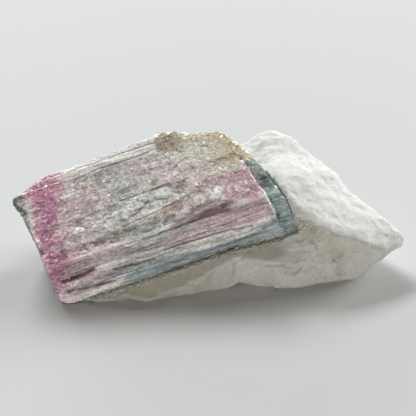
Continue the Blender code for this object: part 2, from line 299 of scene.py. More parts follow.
# Borders on the broken face, in mm. These give a place along the prism for each height up the face.
pinkBorder = (
    (0, 3.2), (3.7, 4.6), (7, 7.0), (10.1, 7.8), (15.2, 7.6), (20, 8.8), (24.3, 11.0), (28.2, 12.0),
    (32, 13.0))
greenEdge = (
    (0, 3.0), (1.5, 2.3), (3.5, 2.2), (6, 1.8), (11, 1.5), (15, 1.6), (18, 1.1), (22, 0.5), (25, 0.1),
    (27, -0.1), (28, -0.4), (29, 0.9), (33, 1.4))
rindBorder = (
    (-2, 57.6), (1, 57.8), (8, 58.0), (13.8, 56.9), (17, 56.0), (19.2, 54.6), (22, 57.5), (33, 60.0))
# These give a height up the face for each place along the prism.
upperEdge = (
    (0, 29.1), (4.5, 30.8), (7, 31.4), (18, 31.7), (27, 32.3), (36, 32.6), (43, 32.2), (50, 31.1),
    (56, 29.9), (62, 28.0))
lowerEdge = ((0, 1.3), (1.2, 0.1), (4, -0.3), (28, -0.1), (37, 0.3), (47, 0.0), (57, -0.7), (62, -0.9))
blueBandTop = ((14, -1.0), (20, 2.6), (28, 3.0), (38, 2.3), (49, 2.0), (54, 2.9), (62, 3.4))

# Growth zones and stains of the broken face, with the painted shade and painted highlight marked below: for
# each colour, soft patches as
# (along the prism, up the face, half length, half width, strength), in mm. Those without patches
# follow the borders above.
zones = {
    "olive": ("#96968a", (
        (25.5, 11.5, 7.0, 1.5, 1.0), (17.0, 11.4, 5.0, 1.2, 0.6), (31.5, 11.6, 3.5, 1.0, 0.6),
        (39.0, 11.2, 5.0, 0.8, 0.5), (13.0, 0.2, 6.0, 0.5, 0.6), (14.0, 26.8, 2.2, 1.0, 0.35),
        (23.5, 27.6, 5.0, 1.2, 0.4), (39.5, 28.6, 2.2, 2.0, 0.5))),
    "smoke": ("#c2c6be", (
        (23.4, 21.6, 5.5, 3.2, 0.95), (21.5, 25.3, 4.5, 2.4, 0.8), (18.5, 27.0, 4.0, 1.6, 0.7),
        (25.2, 10.9, 5.0, 1.8, 0.7), (13.5, 13.6, 3.4, 1.5, 0.3), (30, 8.0, 6.0, 1.2, 0.5),
        (17.8, 17.6, 3.4, 1.1, 0.4), (20.5, 13.0, 3.0, 1.2, 0.4), (23, 3.4, 12.0, 1.6, 0.8),
        (40.5, 12.2, 2.2, 1.0, 0.6))),
    "lilac": ("#efe3e0", (
        (14.5, 22.5, 8.0, 3.6, 0.9), (13.0, 28.4, 8.0, 1.3, 0.7), (36.0, 22.6, 5.0, 3.0, 0.9),
        (31, 25.5, 4.0, 3.4, 0.8), (42.5, 18.0, 6.0, 2.4, 0.9), (15, 10.0, 8.0, 1.8, 0.8),
        (23, 7.6, 9.0, 1.3, 0.6), (39, 13.0, 6.0, 1.6, 0.7), (11.5, 17.0, 3.0, 2.0, 0.6),
        (34, 6.4, 7.0, 1.2, 0.8), (10.5, 8.4, 4.0, 1.5, 0.6))),
    "rose": ("#eecbd0", (
        (31.0, 25.8, 3.0, 2.6, 0.28), (38.5, 21.5, 3.5, 1.8, 0.35), (31.0, 12.6, 1.6, 0.7, 0.5),
        (35.5, 17.5, 2.5, 1.2, 0.3), (51.0, 14.5, 8.0, 5.0, 0.85), (46, 17.0, 6.0, 2.2, 0.5),
        (49, 7.0, 11.0, 2.6, 0.8), (37, 6.6, 8.0, 1.6, 0.55), (10.0, 6.8, 3.0, 1.0, 0.7),
        (55.0, 6.0, 2.4, 3.0, 0.5), (11.0, 29.5, 3.0, 1.0, 0.6))),
    "magenta": ("#cb89a8", (
        (5.0, 27.6, 2.6, 1.6, 1.0), (6.4, 25.4, 2.8, 1.3, 1.0), (8.4, 30.0, 2.6, 0.8, 0.8),
        (6.2, 21.4, 2.0, 2.2, 0.9), (5.2, 18.4, 1.9, 2.0, 0.85), (4.2, 13.4, 0.9, 1.9, 1.0),
        (3.1, 11.4, 0.8, 1.8, 0.95), (7.2, 11.2, 1.7, 1.5, 0.9), (7.4, 5.7, 2.6, 0.6, 0.9),
        (3.6, 8.4, 1.4, 1.6, 0.85), (2.6, 14.5, 0.9, 2.4, 0.7), (4.6, 23.5, 1.6, 1.2, 0.6),
        (54.0, 16.6, 3.0, 1.4, 0.35), (54.6, 12.3, 2.2, 1.7, 0.5), (54.7, 10.2, 1.8, 0.7, 0.75),
        (50, 12.5, 2.5, 1.4, 0.3), (50.0, 8.6, 5.0, 0.7, 0.35), (55.9, 8.0, 0.5, 2.0, 0.5),
        (47, 18.2, 2.5, 0.8, 0.25), (4.4, 4.6, 1.6, 0.9, 0.6))),
    # violet: thin dark lines along the splits and under the top strip's edge: painted shade with a violet
    # tint
    "violet": ("#a79da6", (
        (5.6, 3.0, 2.0, 0.45, 0.8), (9.3, 2.7, 2.0, 0.5, 0.9), (13.3, 2.3, 2.4, 0.4, 0.9),
        (20.0, 28.7, 10.0, 0.4, 0.75), (42.5, 20.0, 3.5, 0.5, 0.4), (17, 3.4, 6, 0.3, 0.5))),
    # umber: brown streaks; along the pink block's overhang, near 10 mm up, also painted shade
    "umber": ("#8f7872", (
        (47.2, 10.6, 2.4, 0.7, 0.95), (43.0, 9.9, 7.5, 0.5, 0.95), (14.0, 11.8, 7.0, 0.35, 0.55),
        (19.0, 9.4, 7.0, 0.35, 0.5), (43.0, 12.0, 4.0, 0.7, 0.5), (36.0, 10.6, 4.0, 0.4, 0.6))),
    "cream": ("#efecdc", (
        (37.2, 3.7, 7.0, 0.6, 1.0), (28.0, 4.7, 6.0, 0.5, 0.8), (20.0, 0.7, 7.0, 0.7, 0.8),
        (10.0, 0.9, 5.0, 0.6, 0.7), (17, 6.4, 6.0, 0.5, 0.3), (24.0, 30.4, 13.0, 1.6, 0.95),
        (36, 30.8, 3.5, 1.2, 0.7), (43.5, 4.2, 3.0, 0.6, 0.8), (33, 1.0, 3, 0.4, 0.4))),
    # white: pale facets, and painted highlight on the lit ledge line 19.3 mm up and on the recess wall's edge
    "white": ("#fdfbf7", (
        (32.4, 17.8, 4.2, 1.5, 0.9), (25.0, 15.2, 5.0, 1.6, 0.5), (19.5, 15.8, 2.4, 1.4, 0.85),
        (29.0, 14.4, 6.0, 0.8, 0.5), (37.6, 15.4, 4.0, 1.3, 0.75), (46.0, 14.4, 2.6, 1.5, 1.0),
        (31.0, 19.3, 6.0, 0.3, 1.0), (2.5, 25.4, 0.6, 2.6, 0.8), (1.8, 21.5, 0.6, 2.6, 0.85),
        (60.8, 11.2, 0.8, 0.8, 0.9), (50.0, 4.2, 6.0, 0.28, 0.85), (12.5, 25.2, 2.6, 0.7, 0.6),
        (13.1, 16.5, 1.4, 1.0, 0.7), (26, 31.2, 12.0, 1.4, 0.85), (37.4, 27.5, 0.35, 2.4, 0.7),
        (20, 6.0, 6.0, 0.3, 0.4), (5.0, 13.9, 1.3, 0.5, 0.6), (3.0, 2.2, 0.9, 0.6, 0.7),
        (21.5, 17.2, 3.5, 1.6, 0.6), (14.5, 15.3, 4.0, 2.0, 0.5), (30.0, 14.6, 8.0, 0.6, 0.5),
        (36.0, 16.6, 6.0, 0.5, 0.8))),
    "peach": ("#f2dccf", (
        (32.0, 13.4, 4.0, 1.0, 0.9), (37.4, 14.6, 4.4, 1.2, 0.95), (41.5, 13.2, 2.4, 0.8, 0.5),
        (27.0, 13.0, 2.0, 0.4, 0.5))),
    "rust": ("#b89f76", (
        (16.4, 25.5, 0.5, 0.6, 0.75), (17.8, 25.2, 0.35, 0.5, 0.6), (32.4, 21.2, 0.7, 0.7, 0.8),
        (34.5, 20.1, 1.4, 0.25, 0.6), (39.1, 29.0, 1.5, 1.6, 0.45), (56.6, 17.9, 1.0, 0.8, 0.6),
        (33.4, 4.4, 0.9, 0.25, 0.6), (19.1, 11.6, 1.4, 0.6, 0.35), (30.8, 24.0, 0.8, 0.5, 0.4),
        (33.5, 26.3, 0.9, 0.5, 0.35))),
    "blueGrey": ("#a3a8a6", ()),
    "rim": ("#b4bcae", (
        (57.0, 4.6, 0.6, 4.2, 0.95), (57.7, 0.8, 0.6, 1.6, 0.9), (56.6, 8.8, 0.5, 1.0, 0.7))),
    "rind": ("#b2c3c1", ()),
    "paleRind": ("#cdd3c6", (
        (60.6, 11.3, 1.3, 0.9, 1.0), (58.9, 15.8, 1.0, 1.6, 0.7), (57.8, 11.6, 0.8, 0.5, 0.9),
        (61.4, 7.5, 0.5, 2.4, 0.4), (62.0, 2.5, 0.4, 2.0, 0.3), (57.5, 18.0, 1.6, 1.6, 0.6))),
    # ink: dark spots and lines; those in pits and under the top strip's edge are painted shade
    "ink": ("#5c6870", (
        (58.6, 14.6, 0.9, 0.5, 1.0), (58.9, 12.9, 1.1, 0.7, 0.6), (58.5, 4.9, 0.7, 1.0, 1.0),
        (58.2, 8.0, 0.4, 1.6, 0.6), (59.2, 1.5, 0.5, 1.6, 0.45), (20.9, 4.4, 0.5, 0.25, 0.9),
        (22.0, 2.5, 0.6, 0.28, 0.9), (32.6, 4.25, 1.0, 0.25, 0.9), (22.9, 15.2, 0.6, 0.5, 0.6),
        (29.6, 17.3, 0.5, 0.35, 0.7), (27.5, 16.1, 0.9, 0.3, 0.6), (30.2, 12.8, 0.5, 0.35, 0.7),
        (20.2, 26.5, 0.9, 0.6, 0.4), (59.5, 12.0, 0.7, 0.5, 0.4), (24, 29.0, 3.0, 0.2, 0.4))),
    "slate": ("#777c82", ((48.0, 1.6, 7.0, 0.8, 0.45), (36.5, 8.2, 9.0, 0.3, 0.2))),
    # garnet: the dark red-brown line under the pink block's overhang, the stone's own colour with painted
    # shadow
    "garnet": ("#6b484a", (
        (47.0, 10.5, 2.8, 0.55, 0.9), (41.5, 10.2, 4.5, 0.45, 0.75), (35.5, 9.9, 2.5, 0.35, 0.6))),
    "capGreen": ("#6d8879", (
        (0.8, 24.6, 0.8, 1.8, 1.0), (1.0, 28.0, 1.1, 1.2, 0.8), (1.0, 21.0, 0.35, 1.6, 0.7))),
}

# Where the broken face is lighter or darker, as (along, up, half length, half width, by how much).
shades = (
    (22.9, 18.7, 2.8, 1.2, 0.7), (45.9, 14.1, 1.9, 1.2, 0.7), (34.9, 30.2, 3.2, 0.8, 0.7),
    (45.2, 8.4, 2.5, 0.6, 0.6), (31.4, 16.3, 2.4, 1.2, -1.0), (43.1, 16.9, 2.6, 1.4, -1.1),
    (24.9, 15.4, 3.0, 1.6, -0.6), (5.6, 10.0, 2.4, 3.2, -0.6), (13.9, 20.5, 4.0, 3.0, -0.4),
    (5.4, 19.8, 2.0, 2.4, -0.3), (52.5, 7.7, 3.5, 1.6, -0.6), (54.4, 11.7, 1.6, 1.2, -0.3),
    (60.2, 1.5, 2.5, 2.5, -0.6), (58.8, 14.9, 2.0, 2.6, -1.2), (37.0, 1.4, 8.0, 0.9, -0.45),
    (48.5, 1.1, 5.0, 1.1, -0.8), (21.3, 4.6, 5.0, 1.2, -0.45), (10.5, 2.2, 5.0, 1.0, -0.6),
    (24.7, 7.5, 6.0, 1.2, -0.5), (7.0, 27.0, 3.0, 2.0, 0.2),
)

# Long splits between splinters, as points (along, up), then width, depth and the colour painted in them.
# Dark ones are the stone's stain together with painted shade in the crease; white ones on raised ridges are
# painted highlight.
splits = (
    (((15.0, 28.3), (21.6, 28.75), (30.9, 29.05), (35.6, 29.2)), 0.2, 0.25, "slate", 0.5),
    (((12.5, 18.2), (16.8, 18.9), (21.3, 19.1), (23.0, 19.6)), 0.16, 0.2, "umber", 0.6),
    (((26.5, 19.2), (31.0, 19.3), (35.0, 19.3)), 0.24, -0.2, "white", 1.0),
    (((33.0, 20.1), (34.6, 20.15), (36.5, 20.1)), 0.15, 0.05, "rust", 0.6),
    (((37.0, 29.6), (37.4, 27.0), (38.4, 24.8)), 0.25, -0.2, "white", 1.0),
    (((7.5, 12.0), (14.0, 11.0), (21.6, 8.7)), 0.25, 0.05, "umber", 0.4),
    (((9.0, 10.7), (18.0, 9.9), (25.0, 9.4)), 0.2, 0.1, "umber", 0.35),
    (((26.0, 9.3), (28.6, 9.3), (36.0, 9.6), (43.0, 9.7), (49.8, 9.9)), 0.24, 0.12, "garnet", 0.85),
    (((4.8, 5.7), (8.0, 5.9), (12.4, 6.2)), 0.55, 0.35, "garnet", 1.0),
    (((14.0, 7.6), (22.0, 7.2), (30.0, 7.4)), 0.16, 0.2, "umber", 0.5),
    (((30.0, 5.3), (37.0, 5.2), (44.5, 5.0), (52.0, 4.1)), 0.17, 0.35, "slate", 0.7),
    (((17.0, 4.7), (22.0, 4.3), (27.0, 4.0)), 0.18, 0.25, "slate", 0.7),
    (((5.0, 3.3), (9.3, 2.7), (14.0, 2.3), (19.0, 2.2)), 0.2, 0.15, "slate", 0.35),
    (((25.2, 15.2), (27.5, 16.1), (29.8, 17.2), (30.4, 18.6)), 0.12, 0.1, "slate", 0.6),
    (((31.0, 19.2), (31.9, 17.6), (33.2, 16.5), (34.8, 16.6)), 0.13, 0.1, "slate", 0.5),
    (((36.2, 19.0), (37.6, 18.2), (39.5, 18.6)), 0.12, 0.1, "slate", 0.4),
)
# Ledges across the broken face: points (along, up), then how far the side above them stands out.
ledges = (
    (((23.5, 19.6), (28.3, 19.8), (34.0, 19.5), (37.0, 19.7)), -0.38),
    (((22.0, 13.4), (28.0, 14.0), (33.0, 14.6), (40.5, 15.6)), -0.6),
    (((24.0, 6.4), (36.0, 6.0), (50.0, 6.6)), -0.25),
)


def patchWeight(patches, along, up):  # soft ellipses, the strongest wins
    weight = np.zeros(len(along))
    for middle, height, halfLength, halfWidth, strength in patches:
        away = np.sqrt(((along - middle) / halfLength) ** 2 + ((up - height) / halfWidth) ** 2)
        weight = np.maximum(weight, strength * (1 - smoothStep(0.3, 1.5, away)))
    return weight


def pastWall(along, up):  # how far past the steep wall at the left of the mica's recess, in mm
    return along - (37.0 + 0.45 * (30.0 - up))


def facetHeight(dice, away, step, slope):  # flat facets, each at its own level and lean
    return step * dice[:, 0] + slope * (dice[:, 1] * away[:, 1] + 0.7 * dice[:, 2] * away[:, 0])


def splitLines(along, up):  # the depth of the splits, and the marks each paints: stain and painted shade, painted highlight on white ridges
    wavy = up + 0.16 * softNoise(np.stack([along, up, up * 0], axis=1), (1.4, 0.6, 1), 131)
    points = np.stack([along, wavy], axis=1)
    depth = np.zeros(len(along))
    splitMarks = {}
    for line, width, drop, markName, strength in splits:
        away = nearLine(points, line) / width
        depth += drop * np.exp(-away ** 2)
        mark = strength * np.exp(-(away * 0.8) ** 2)
        splitMarks[markName] = np.maximum(splitMarks.get(markName, 0), mark)
    return depth, splitMarks


def ledgeHeight(along, up):
    height = np.zeros(len(along))
    for line, rise in ledges:
        above = up - curve(line, along)
        reach = band(along, line[0][0], line[-1][0], 1.2)
        height += rise * reach * smoothStep(-0.12, 0.12, above) * np.exp(-np.maximum(above, 0) / 2.2)
    return height


# How far each point of the prism moves, in mm, with its facet's lightness, its crumb and the marks of its
# splits (stain, painted shade and painted highlight).
def shapePrism(points, normals):
    look = tourmaline
    along, up, out = points.T
    facing = smoothStep(0.35, 0.7, normals[:, 2])  # 1 on the broken face, 0 on the grooved sides
    flat = np.stack([along, up, np.zeros(len(along))], axis=1)
    shift = [softNoise(flat, 5, 90) * 1.4, softNoise(flat, (9, 3, 9), 91) * 0.5, flat[:, 2]]
    warped = flat + np.stack(shift, axis=1)
    pinkBand = 1 - smoothStep(-1.5, 1.5, along - curve(pinkBorder, up))
    crumbly = band(up, *look["crumblyBelt"], 0.6) * (1 - 0.25 * band(up, *look["calmBelt"], 0.5))
    crumbly = crumbly + 0.75 * pinkBand * (1 - band(up, 10, 28, 0.6))
    crumbly = np.clip(crumbly, 0, 1)
    glassy = band(up, *look["glassyBelt"], 0.5) * band(along, *look["glassyStretch"], 2.0)

    lathDice, lathAway, _ = chips(warped, look["lathSize"], 11)
    fineDice, fineAway, _ = chips(warped, look["fineLathSize"], 21)
    blockDice, blockAway, blockEdge = chips(warped, look["blockSize"], 25)
    chipDice, chipAway, chipEdge = chips(warped, look["chipSize"], 31)
    smallDice, smallAway, _ = chips(warped, look["smallChipSize"], 41)
    crumbDice, crumbAway, _ = chips(flat, look["crumbSize"], 45)
    slope, step = look["facetSlope"], look["chipStep"]
    laths = look["lathHeight"] * (0.42 * lathDice[:, 0] + 0.5 * lathDice[:, 1] * lathAway[:, 1])
    fineLaths = look["fineLathHeight"] * (0.5 * fineDice[:, 0] + 0.9 * fineDice[:, 1] * fineAway[:, 1])
    faceHeight = laths * (1 - 0.95 * crumbly) + fineLaths * (1 - 0.85 * crumbly)
    faceHeight += glassy * facetHeight(blockDice, blockAway, look["blockStep"], 0.4 * slope)
    faceHeight += (0.35 * crumbly + 0.65 * glassy) * facetHeight(chipDice, chipAway, step, 0.8 * slope)
    smallPart = 0.12 + 0.28 * crumbly - 0.1 * glassy
    faceHeight += smallPart * facetHeight(smallDice, smallAway, 0.4 * step, 0.8 * slope)
    crumbPart = (0.2 + 0.2 * crumbly) * (1 - 0.5 * glassy)
    faceHeight += crumbPart * facetHeight(crumbDice, crumbAway, 0.2 * step, slope)
    faceHeight += look["grainHeight"] * layeredNoise(flat, (0.8, 0.6, 1), 51, 2)
    depth, splitMarks = splitLines(along, up)
    faceHeight += ledgeHeight(along, up) - depth
    besideMica = pastWall(along, up) + 0.5 * softNoise(flat, 1.3, 141)
    faceHeight -= 0.6 * band(besideMica, -0.9, 0.6, 0.5) * band(up, 20.5, 31, 0.8)
    underMica = 19.4 - up + 0.4 * softNoise(flat, 1.1, 151)
    faceHeight -= 0.9 * (1 - smoothStep(0, 1.3, underMica)) * smoothStep(40, 42, along) * (up < 19.9)
    faceHeight -= look["topLean"] * np.maximum(0, up - 28.9) * band(along, 11, 36.5, 2.0)

    groove = look["grooveHeight"]
    ribDice, _, ribEdge = chips(points, look["grooveSize"], 61)
    fineRibDice, _, fineRibEdge = chips(points, look["fineGrooveSize"], 71)
    sideHeight = groove * (0.9 * ribDice[:, 0] + 1.1 * smoothStep(0, 0.25, ribEdge))
    sideHeight += 0.45 * groove * (0.8 * fineRibDice[:, 0] + smoothStep(0, 0.25, fineRibEdge))
    sideHeight -= 1.2 * groove
    brokenEnd = smoothStep(-0.5, -0.8, normals[:, 0])
    middle, halfHeight = look["capHeight"]
    cap = look["capThickness"] * np.exp(-((up - middle) / halfHeight) ** 2) * smoothStep(-7, -2, out)
    sideHeight += brokenEnd * (cap - 0.15 + 0.4 * layeredNoise(points, (2.2, 1.1, 1.1), 161, 3))
    height = facing * faceHeight + (1 - facing) * sideHeight

    tone = (0.45 * lathDice[:, 2] + 0.3 * fineDice[:, 2]) * (1 - 0.7 * crumbly)
    tone += crumbly * (0.3 * chipDice[:, 1] + 0.35 * smallDice[:, 0] + 0.3 * crumbDice[:, 0])
    tone += glassy * (0.45 * blockDice[:, 1] + 0.25 * chipDice[:, 2])
    tone -= 0.3 * glassy * (1 + 0.8 * band(along, 30, 40, 3.0))
    # Painted highlight: pale outlines along the broken facets' edges in the glassy belt.
    edgeHighlight = np.maximum(np.exp(-(blockEdge / 0.06) ** 2), 0.6 * np.exp(-(chipEdge / 0.07) ** 2))
    tone += 0.5 * glassy * edgeHighlight
    # Painted light: the top strip's tone is raised as where the lamps above catch it; its pale colour comes
    # from the zones.
    topStrip = band(up, *look["topStrip"], 0.3) * band(along, 9, 37, 2.0)
    tone = tone * (1 - 0.5 * topStrip) + 0.7 * topStrip
    tone = facing * tone + (1 - facing) * (0.35 * ribDice[:, 2] + 0.3 * fineRibDice[:, 2])
    lowStrips = (0.9 - 0.6 * smoothStep(3.6, 1.6, up)) * (1 - smoothStep(8.8, 10.6, up))
    tone -= facing * lowStrips * (1 - 0.6 * pinkBand)
    lighter = patchWeight([shade for shade in shades if shade[4] > 0], along, up)
    darker = patchWeight([shade[:4] + (-shade[4],) for shade in shades if shade[4] < 0], along, up)
    tone += facing * (lighter - darker)
    speck = 0.6 * smallDice[:, 2] + 0.4 * crumbDice[:, 1]
    splitMarks = {name: stain * facing for name, stain in splitMarks.items()}
    return height, tone, crumbly * facing, glassy * facing, speck, splitMarks


# How much of each colour there is at each point. Around is 1 on the sides and the back of the prism.
def growthWeights(points, normals, chipped, speck, splitMarks):
    along, up, out = points.T
    flat = np.stack([along, up, np.zeros(len(along))], axis=1)
    facing = smoothStep(0.35, 0.7, normals[:, 2])
    inside = smoothStep(-7.0, -5.5, out) * smoothStep(-0.2, 0.5, up - curve(lowerEdge, along))
    inside *= 1 - smoothStep(0.0, 0.7, up - curve(upperEdge, along))
    inside *= 1 - smoothStep(0.4, 0.8, normals[:, 1]) * smoothStep(-0.6, -2.0, out)
    facing = np.maximum(facing, inside * smoothStep(-0.9, -0.5, normals[:, 0]))
    streak = layeredNoise(flat, (7, 0.7, 9), 101, 3)
    fray = layeredNoise(flat, (1.6, 0.9, 9), 111, 2)
    crumbWarp = layeredNoise(flat, (2.4, 1.8, 9), 115, 3)
    calm = 1 - 0.85 * smoothStep(55, 57, along)
    warpedAlong = along + (1.6 * streak + 0.7 * fray) * (1 - 0.65 * chipped) * calm
    warpedAlong = warpedAlong + 1.1 * crumbWarp * chipped
    warpedUp = up + 0.35 * fray + 0.25 * streak
    weights = {name: patchWeight(patches, warpedAlong, warpedUp) for name, (_, patches) in zones.items()}

    pinkBand = 1 - smoothStep(-1.3, 1.6, warpedAlong - curve(pinkBorder, up))
    blush = 0.55 * (1 - smoothStep(8, 24, warpedAlong)) * (1 - 0.6 * smoothStep(27, 29, up))
    bandHeart = np.exp(-((warpedAlong - curve(pinkBorder, up) + 3.4) / 2.4) ** 2)
    weights["rose"] = np.maximum(weights["rose"], np.maximum(0.95 * pinkBand, blush))
    heart = 0.74 * bandHeart * smoothStep(-0.2, 1.0, along)
    weights["magenta"] = np.maximum(weights["magenta"], heart)
    for name in ("magenta", "rose", "smoke", "lilac", "rust"):  # speckled, and two of them more
        weights[name] *= 1 + (0.3 if name in ("magenta", "rust") else 0.15) * speck
    # the splits' marks: stain and painted shade in the creases, painted highlight on the white ridges
    for name, stain in splitMarks.items():
        weights[name] = np.maximum(weights[name], stain)

    pastRind = smoothStep(-0.3, 0.3, along - curve(rindBorder, up) + 0.15 * fray)
    lowBand = 1 - smoothStep(-0.25, 0.35, warpedUp - curve(blueBandTop, along))
    lowBand = lowBand * smoothStep(13, 22, along)
    edgeGreen = 1 - smoothStep(0.15, 0.75, along - curve(greenEdge, up) + 0.25 * fray)
    lowRind = lowBand * (0.25 + 0.5 * streak + 0.3 * smoothStep(30, 24, along))
    weights["rind"] = np.maximum(pastRind * (0.95 + 0.25 * streak), lowRind)
    weights["blueGrey"] = 0.95 * lowBand * (1 - pastRind)
    greenSkin = edgeGreen * (0.35 + 0.5 * smoothStep(17, 20, up))
    weights["capGreen"] = np.maximum(weights["capGreen"], greenSkin)
    for name in ("rose", "magenta", "cream", "lilac", "umber"):
        weights[name] *= 1 - pastRind * 0.9
    rindOlive = 0.7 * pastRind * smoothStep(10, 16, up + 2 * streak)
    weights["olive"] = np.maximum(weights["olive"], rindOlive)

    around = 1 - facing
    mottle = layeredNoise(points, (12, 2.0, 2.0), 121, 3)
    backPink = band(along, 2.0, 9.0, 2.0) * 0.4 + band(along, 44, 57, 3.0) * 0.3
    sides = {
        "rose": backPink * (0.8 + 0.6 * mottle),
        "smoke": 0.55 + 0.5 * mottle,
        "rind": 0.5 + 0.45 * smoothStep(30, 58, along) + 0.4 * mottle,
        "capGreen": (1 - smoothStep(1.2, 3.2, along + mottle)) * 0.85,
    }
    weights = {name: facing * weight + around * sides.get(name, 0.0) for name, weight in weights.items()}
    return weights, around


def makeCrystal():
    piece = copyNode("tourmaline_crystal", "tourmalineCrystal")
    stretched = Matrix.Diagonal((1 / tourmaline["stretch"], 1, 1, 1)) @ axes.to_4x4().transposed()
    remeshPiece(piece, tourmaline["cellSize"], stretched, smooth=False)  # crisp little flats
    mesh = piece.data
    points = toCrystal(readVectors(mesh, "co"))
    normals = readVectors(mesh, "normal") @ axesArray
    height, tone, chipped, glassy, speck, splitMarks = shapePrism(points, normals)
    facing = smoothStep(0.35, 0.7, normals[:, 2])[:, None]
    push = normals * (1 - facing) + np.array((0, 0, 1.0)) * facing
    writePoints(mesh, toWorld(points + push * height[:, None]))
    weights, around = growthWeights(points, normals, chipped, speck, splitMarks)
    for name, weight in weights.items():
        paint(mesh, name, np.clip(weight, 0, 1))
    # Painted shade: the sides and back are painted 1.1 darker in tone, against the strong lamps behind them.
    paint(mesh, "facetTone", tone - 1.1 * around)
    paint(mesh, "chipped", chipped)
    paint(mesh, "glassy", glassy)
    mesh.materials.append(tourmalineMaterial())
    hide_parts("tourmaline_crystal")
    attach(piece, "root")
    print("tourmaline crystal:", len(mesh.polygons), "faces")
    return piece


# Tourmaline, split and frayed along its grooves: a glassy stone, cloudy inside, that glints off its
# small flats.
def tourmalineMaterial():
    material, tree, shader = newMaterial("tourmaline split along its grooves", tourmaline["finish"])
    place = addNode(tree, "TexCoord", "Object")
    turn = axes.transposed().to_euler()
    own = addNode(tree, "Mapping", 0, {"Vector": place, "Rotation": turn, "Scale": (1000, 1000, 1000)})
    streakPlace, crumbPlace, finePlace = (
        addNode(tree, "Mapping", 0, {"Vector": own, "Scale": tourmaline[name]})
        for name in ("streakScale", "crumbScale", "fineScale"))
    chipped, tone, glassy = (
        addNode(tree, "Attribute", "Fac", attribute_name=name)
        for name in ("chipped", "facetTone", "glassy"))
    streak = addNode(tree, "TexNoise", 0, {0: streakPlace, "Scale": 1.0, "Detail": 5.0, "Roughness": 0.62})
    grain = addNode(tree, "TexNoise", 0, {0: own, "Scale": 1.9, "Detail": 4.0, "Roughness": 0.7})
    crumb = addNode(tree, "TexVoronoi", "Color", {0: crumbPlace, "Scale": 1.0})
    crumbPart = addNode(tree, "SeparateColor", 0, {0: crumb})
    fine = addNode(tree, "TexVoronoi", "Color", {0: finePlace, "Scale": 1.0})
    finePart = addNode(tree, "SeparateColor", 0, {0: fine})
    flatPart = finePart.node.outputs[2]

    colour = linear(tourmaline["bodyColour"])
    for name, (hexCode, _) in zones.items():
        weight = addNode(tree, "Attribute", "Fac", attribute_name=name)
        colour = addNode(tree, "Mix", 2, {0: weight, 6: colour, 7: linear(hexCode)}, data_type="RGBA")
    white = (1, 1, 1, 1)
    streakLight = addNode(tree, "MapRange", 0, {0: streak, 1: 0.3, 2: 0.7, 3: 0.78, 4: 1.2})
    streakLight = addNode(tree, "Mix", 2, {0: chipped, 6: streakLight, 7: white}, data_type="RGBA")
    fineLight = addNode(tree, "MapRange", 0, {0: finePart, 3: 0.78, 4: 1.18})
    calm = addNode(tree, "Math", 0, {0: glassy, 1: 0.6}, operation="MULTIPLY")
    fineLight = addNode(tree, "Mix", 2, {0: calm, 6: fineLight, 7: white}, data_type="RGBA")
    grainLight = addNode(tree, "MapRange", 0, {0: grain, 1: 0.3, 2: 0.7, 3: 0.84, 4: 1.2})
    crumbLight = addNode(tree, "MapRange", 0, {0: crumbPart, 3: 0.85, 4: 1.15})
    light = addNode(tree, "MapRange", 0, {0: tone, 1: -2, 2: 1, 3: 0.4, 4: 1.3})
    for part in (streakLight, grainLight, crumbLight, fineLight):
        light = addNode(tree, "Math", 0, {0: light, 1: part}, operation="MULTIPLY")
    colour = addNode(tree, "Mix", 2, {0: 1.0, 6: colour, 7: light}, data_type="RGBA", blend_type="MULTIPLY")
    tree.links.new(colour, shader.inputs["Base Color"])
    rough = addNode(tree, "MapRange", 0, {0: chipped, 3: 0.4, 4: 0.16})
    tree.links.new(rough, shader.inputs["Roughness"])

    furrow = addNode(tree, "MapRange", 0, {0: chipped, 3: 0.4, 4: 0.05})
    facing = addNode(tree, "Bump", 0, {"Height": streak, "Strength": furrow, "Distance": 0.00008})
    lean = addNode(tree, "VectorMath", 0, {0: crumb, 1: (0.5, 0.5, 0.5)}, operation="SUBTRACT")
    chippedLean = addNode(tree, "MapRange", 0, {0: chipped, 3: 0.25, 4: 0.65})
    glassyLean = addNode(tree, "MapRange", 0, {0: glassy, 3: 1.0, 4: 0.6})
    # a few crumbs in a hundred lie level, and those are the ones that glint
    level = addNode(tree, "MapRange", 0, {0: flatPart, 1: 0.955, 2: 0.965})
    chippedLevel = addNode(tree, "MapRange", 0, {0: chipped, 3: 0.5, 4: 2.5})
    for way, first, second in ((lean, chippedLean, glassyLean), ((0, 0, 1.0), level, chippedLevel)):
        amount = addNode(tree, "Math", 0, {0: first, 1: second}, operation="MULTIPLY")
        push = addNode(tree, "VectorMath", 0, {0: way, "Scale": amount}, operation="SCALE")
        facing = addNode(tree, "VectorMath", 0, {0: facing, 1: push}, operation="ADD")
    facing = addNode(tree, "VectorMath", 0, {0: facing}, operation="NORMALIZE")
    tree.links.new(facing, shader.inputs["Normal"])
    return material


albite = {
    "cellSize": 0.36,  # mm
    "lumpSize": 5.5,
    "lumpHeight": 0.5,
    "facetSize": 2.6,  # cleaved grains
    "facetHeight": 0.4,
    "smallFacetSize": 1.15,
    "smallFacetHeight": 0.2,
    "grainSize": 0.9,
    "grainHeight": 0.09,
    "undercut": (-9.0, 7.0, 2.0, 5.0),  # mm: middle, half length, depth and height, along the front's foot
    "pepper": ((29.5, -3.5, 14.5), 2.5, 6.5),  # mm: a mottled stain's middle, and where it fades
    "lipSlope": 0.42,  # how gently the lip below the prism rises
    "crumbs": 460,  # grains along the crease under the prism
    "crumbSize": (0.14, 0.34),  # mm
    "colours": ("#e0dfda", "#d3d1c8"),  # clouded from one to the other
    # What lies over them, from the first to the last: how strong, and its colour.
    "coats": {
        # paler, painted light on the lit top
        "pale": (1.0, "#f0efea"),
        # painted shade with some weathering, on the front and the back faces
        "weatheredAndShaded": (0.75, "#938d79"),
        "stain": (0.8, "#bcae8e"),
        "seam": (0.75, "#857b60"),
    },
    "finish": {
        "IOR": 1.53,
        "Subsurface Weight": 0.3,
        "Subsurface Radius": (1.0, 0.9, 0.75),
        "Subsurface Scale": 0.0008,
    },
}

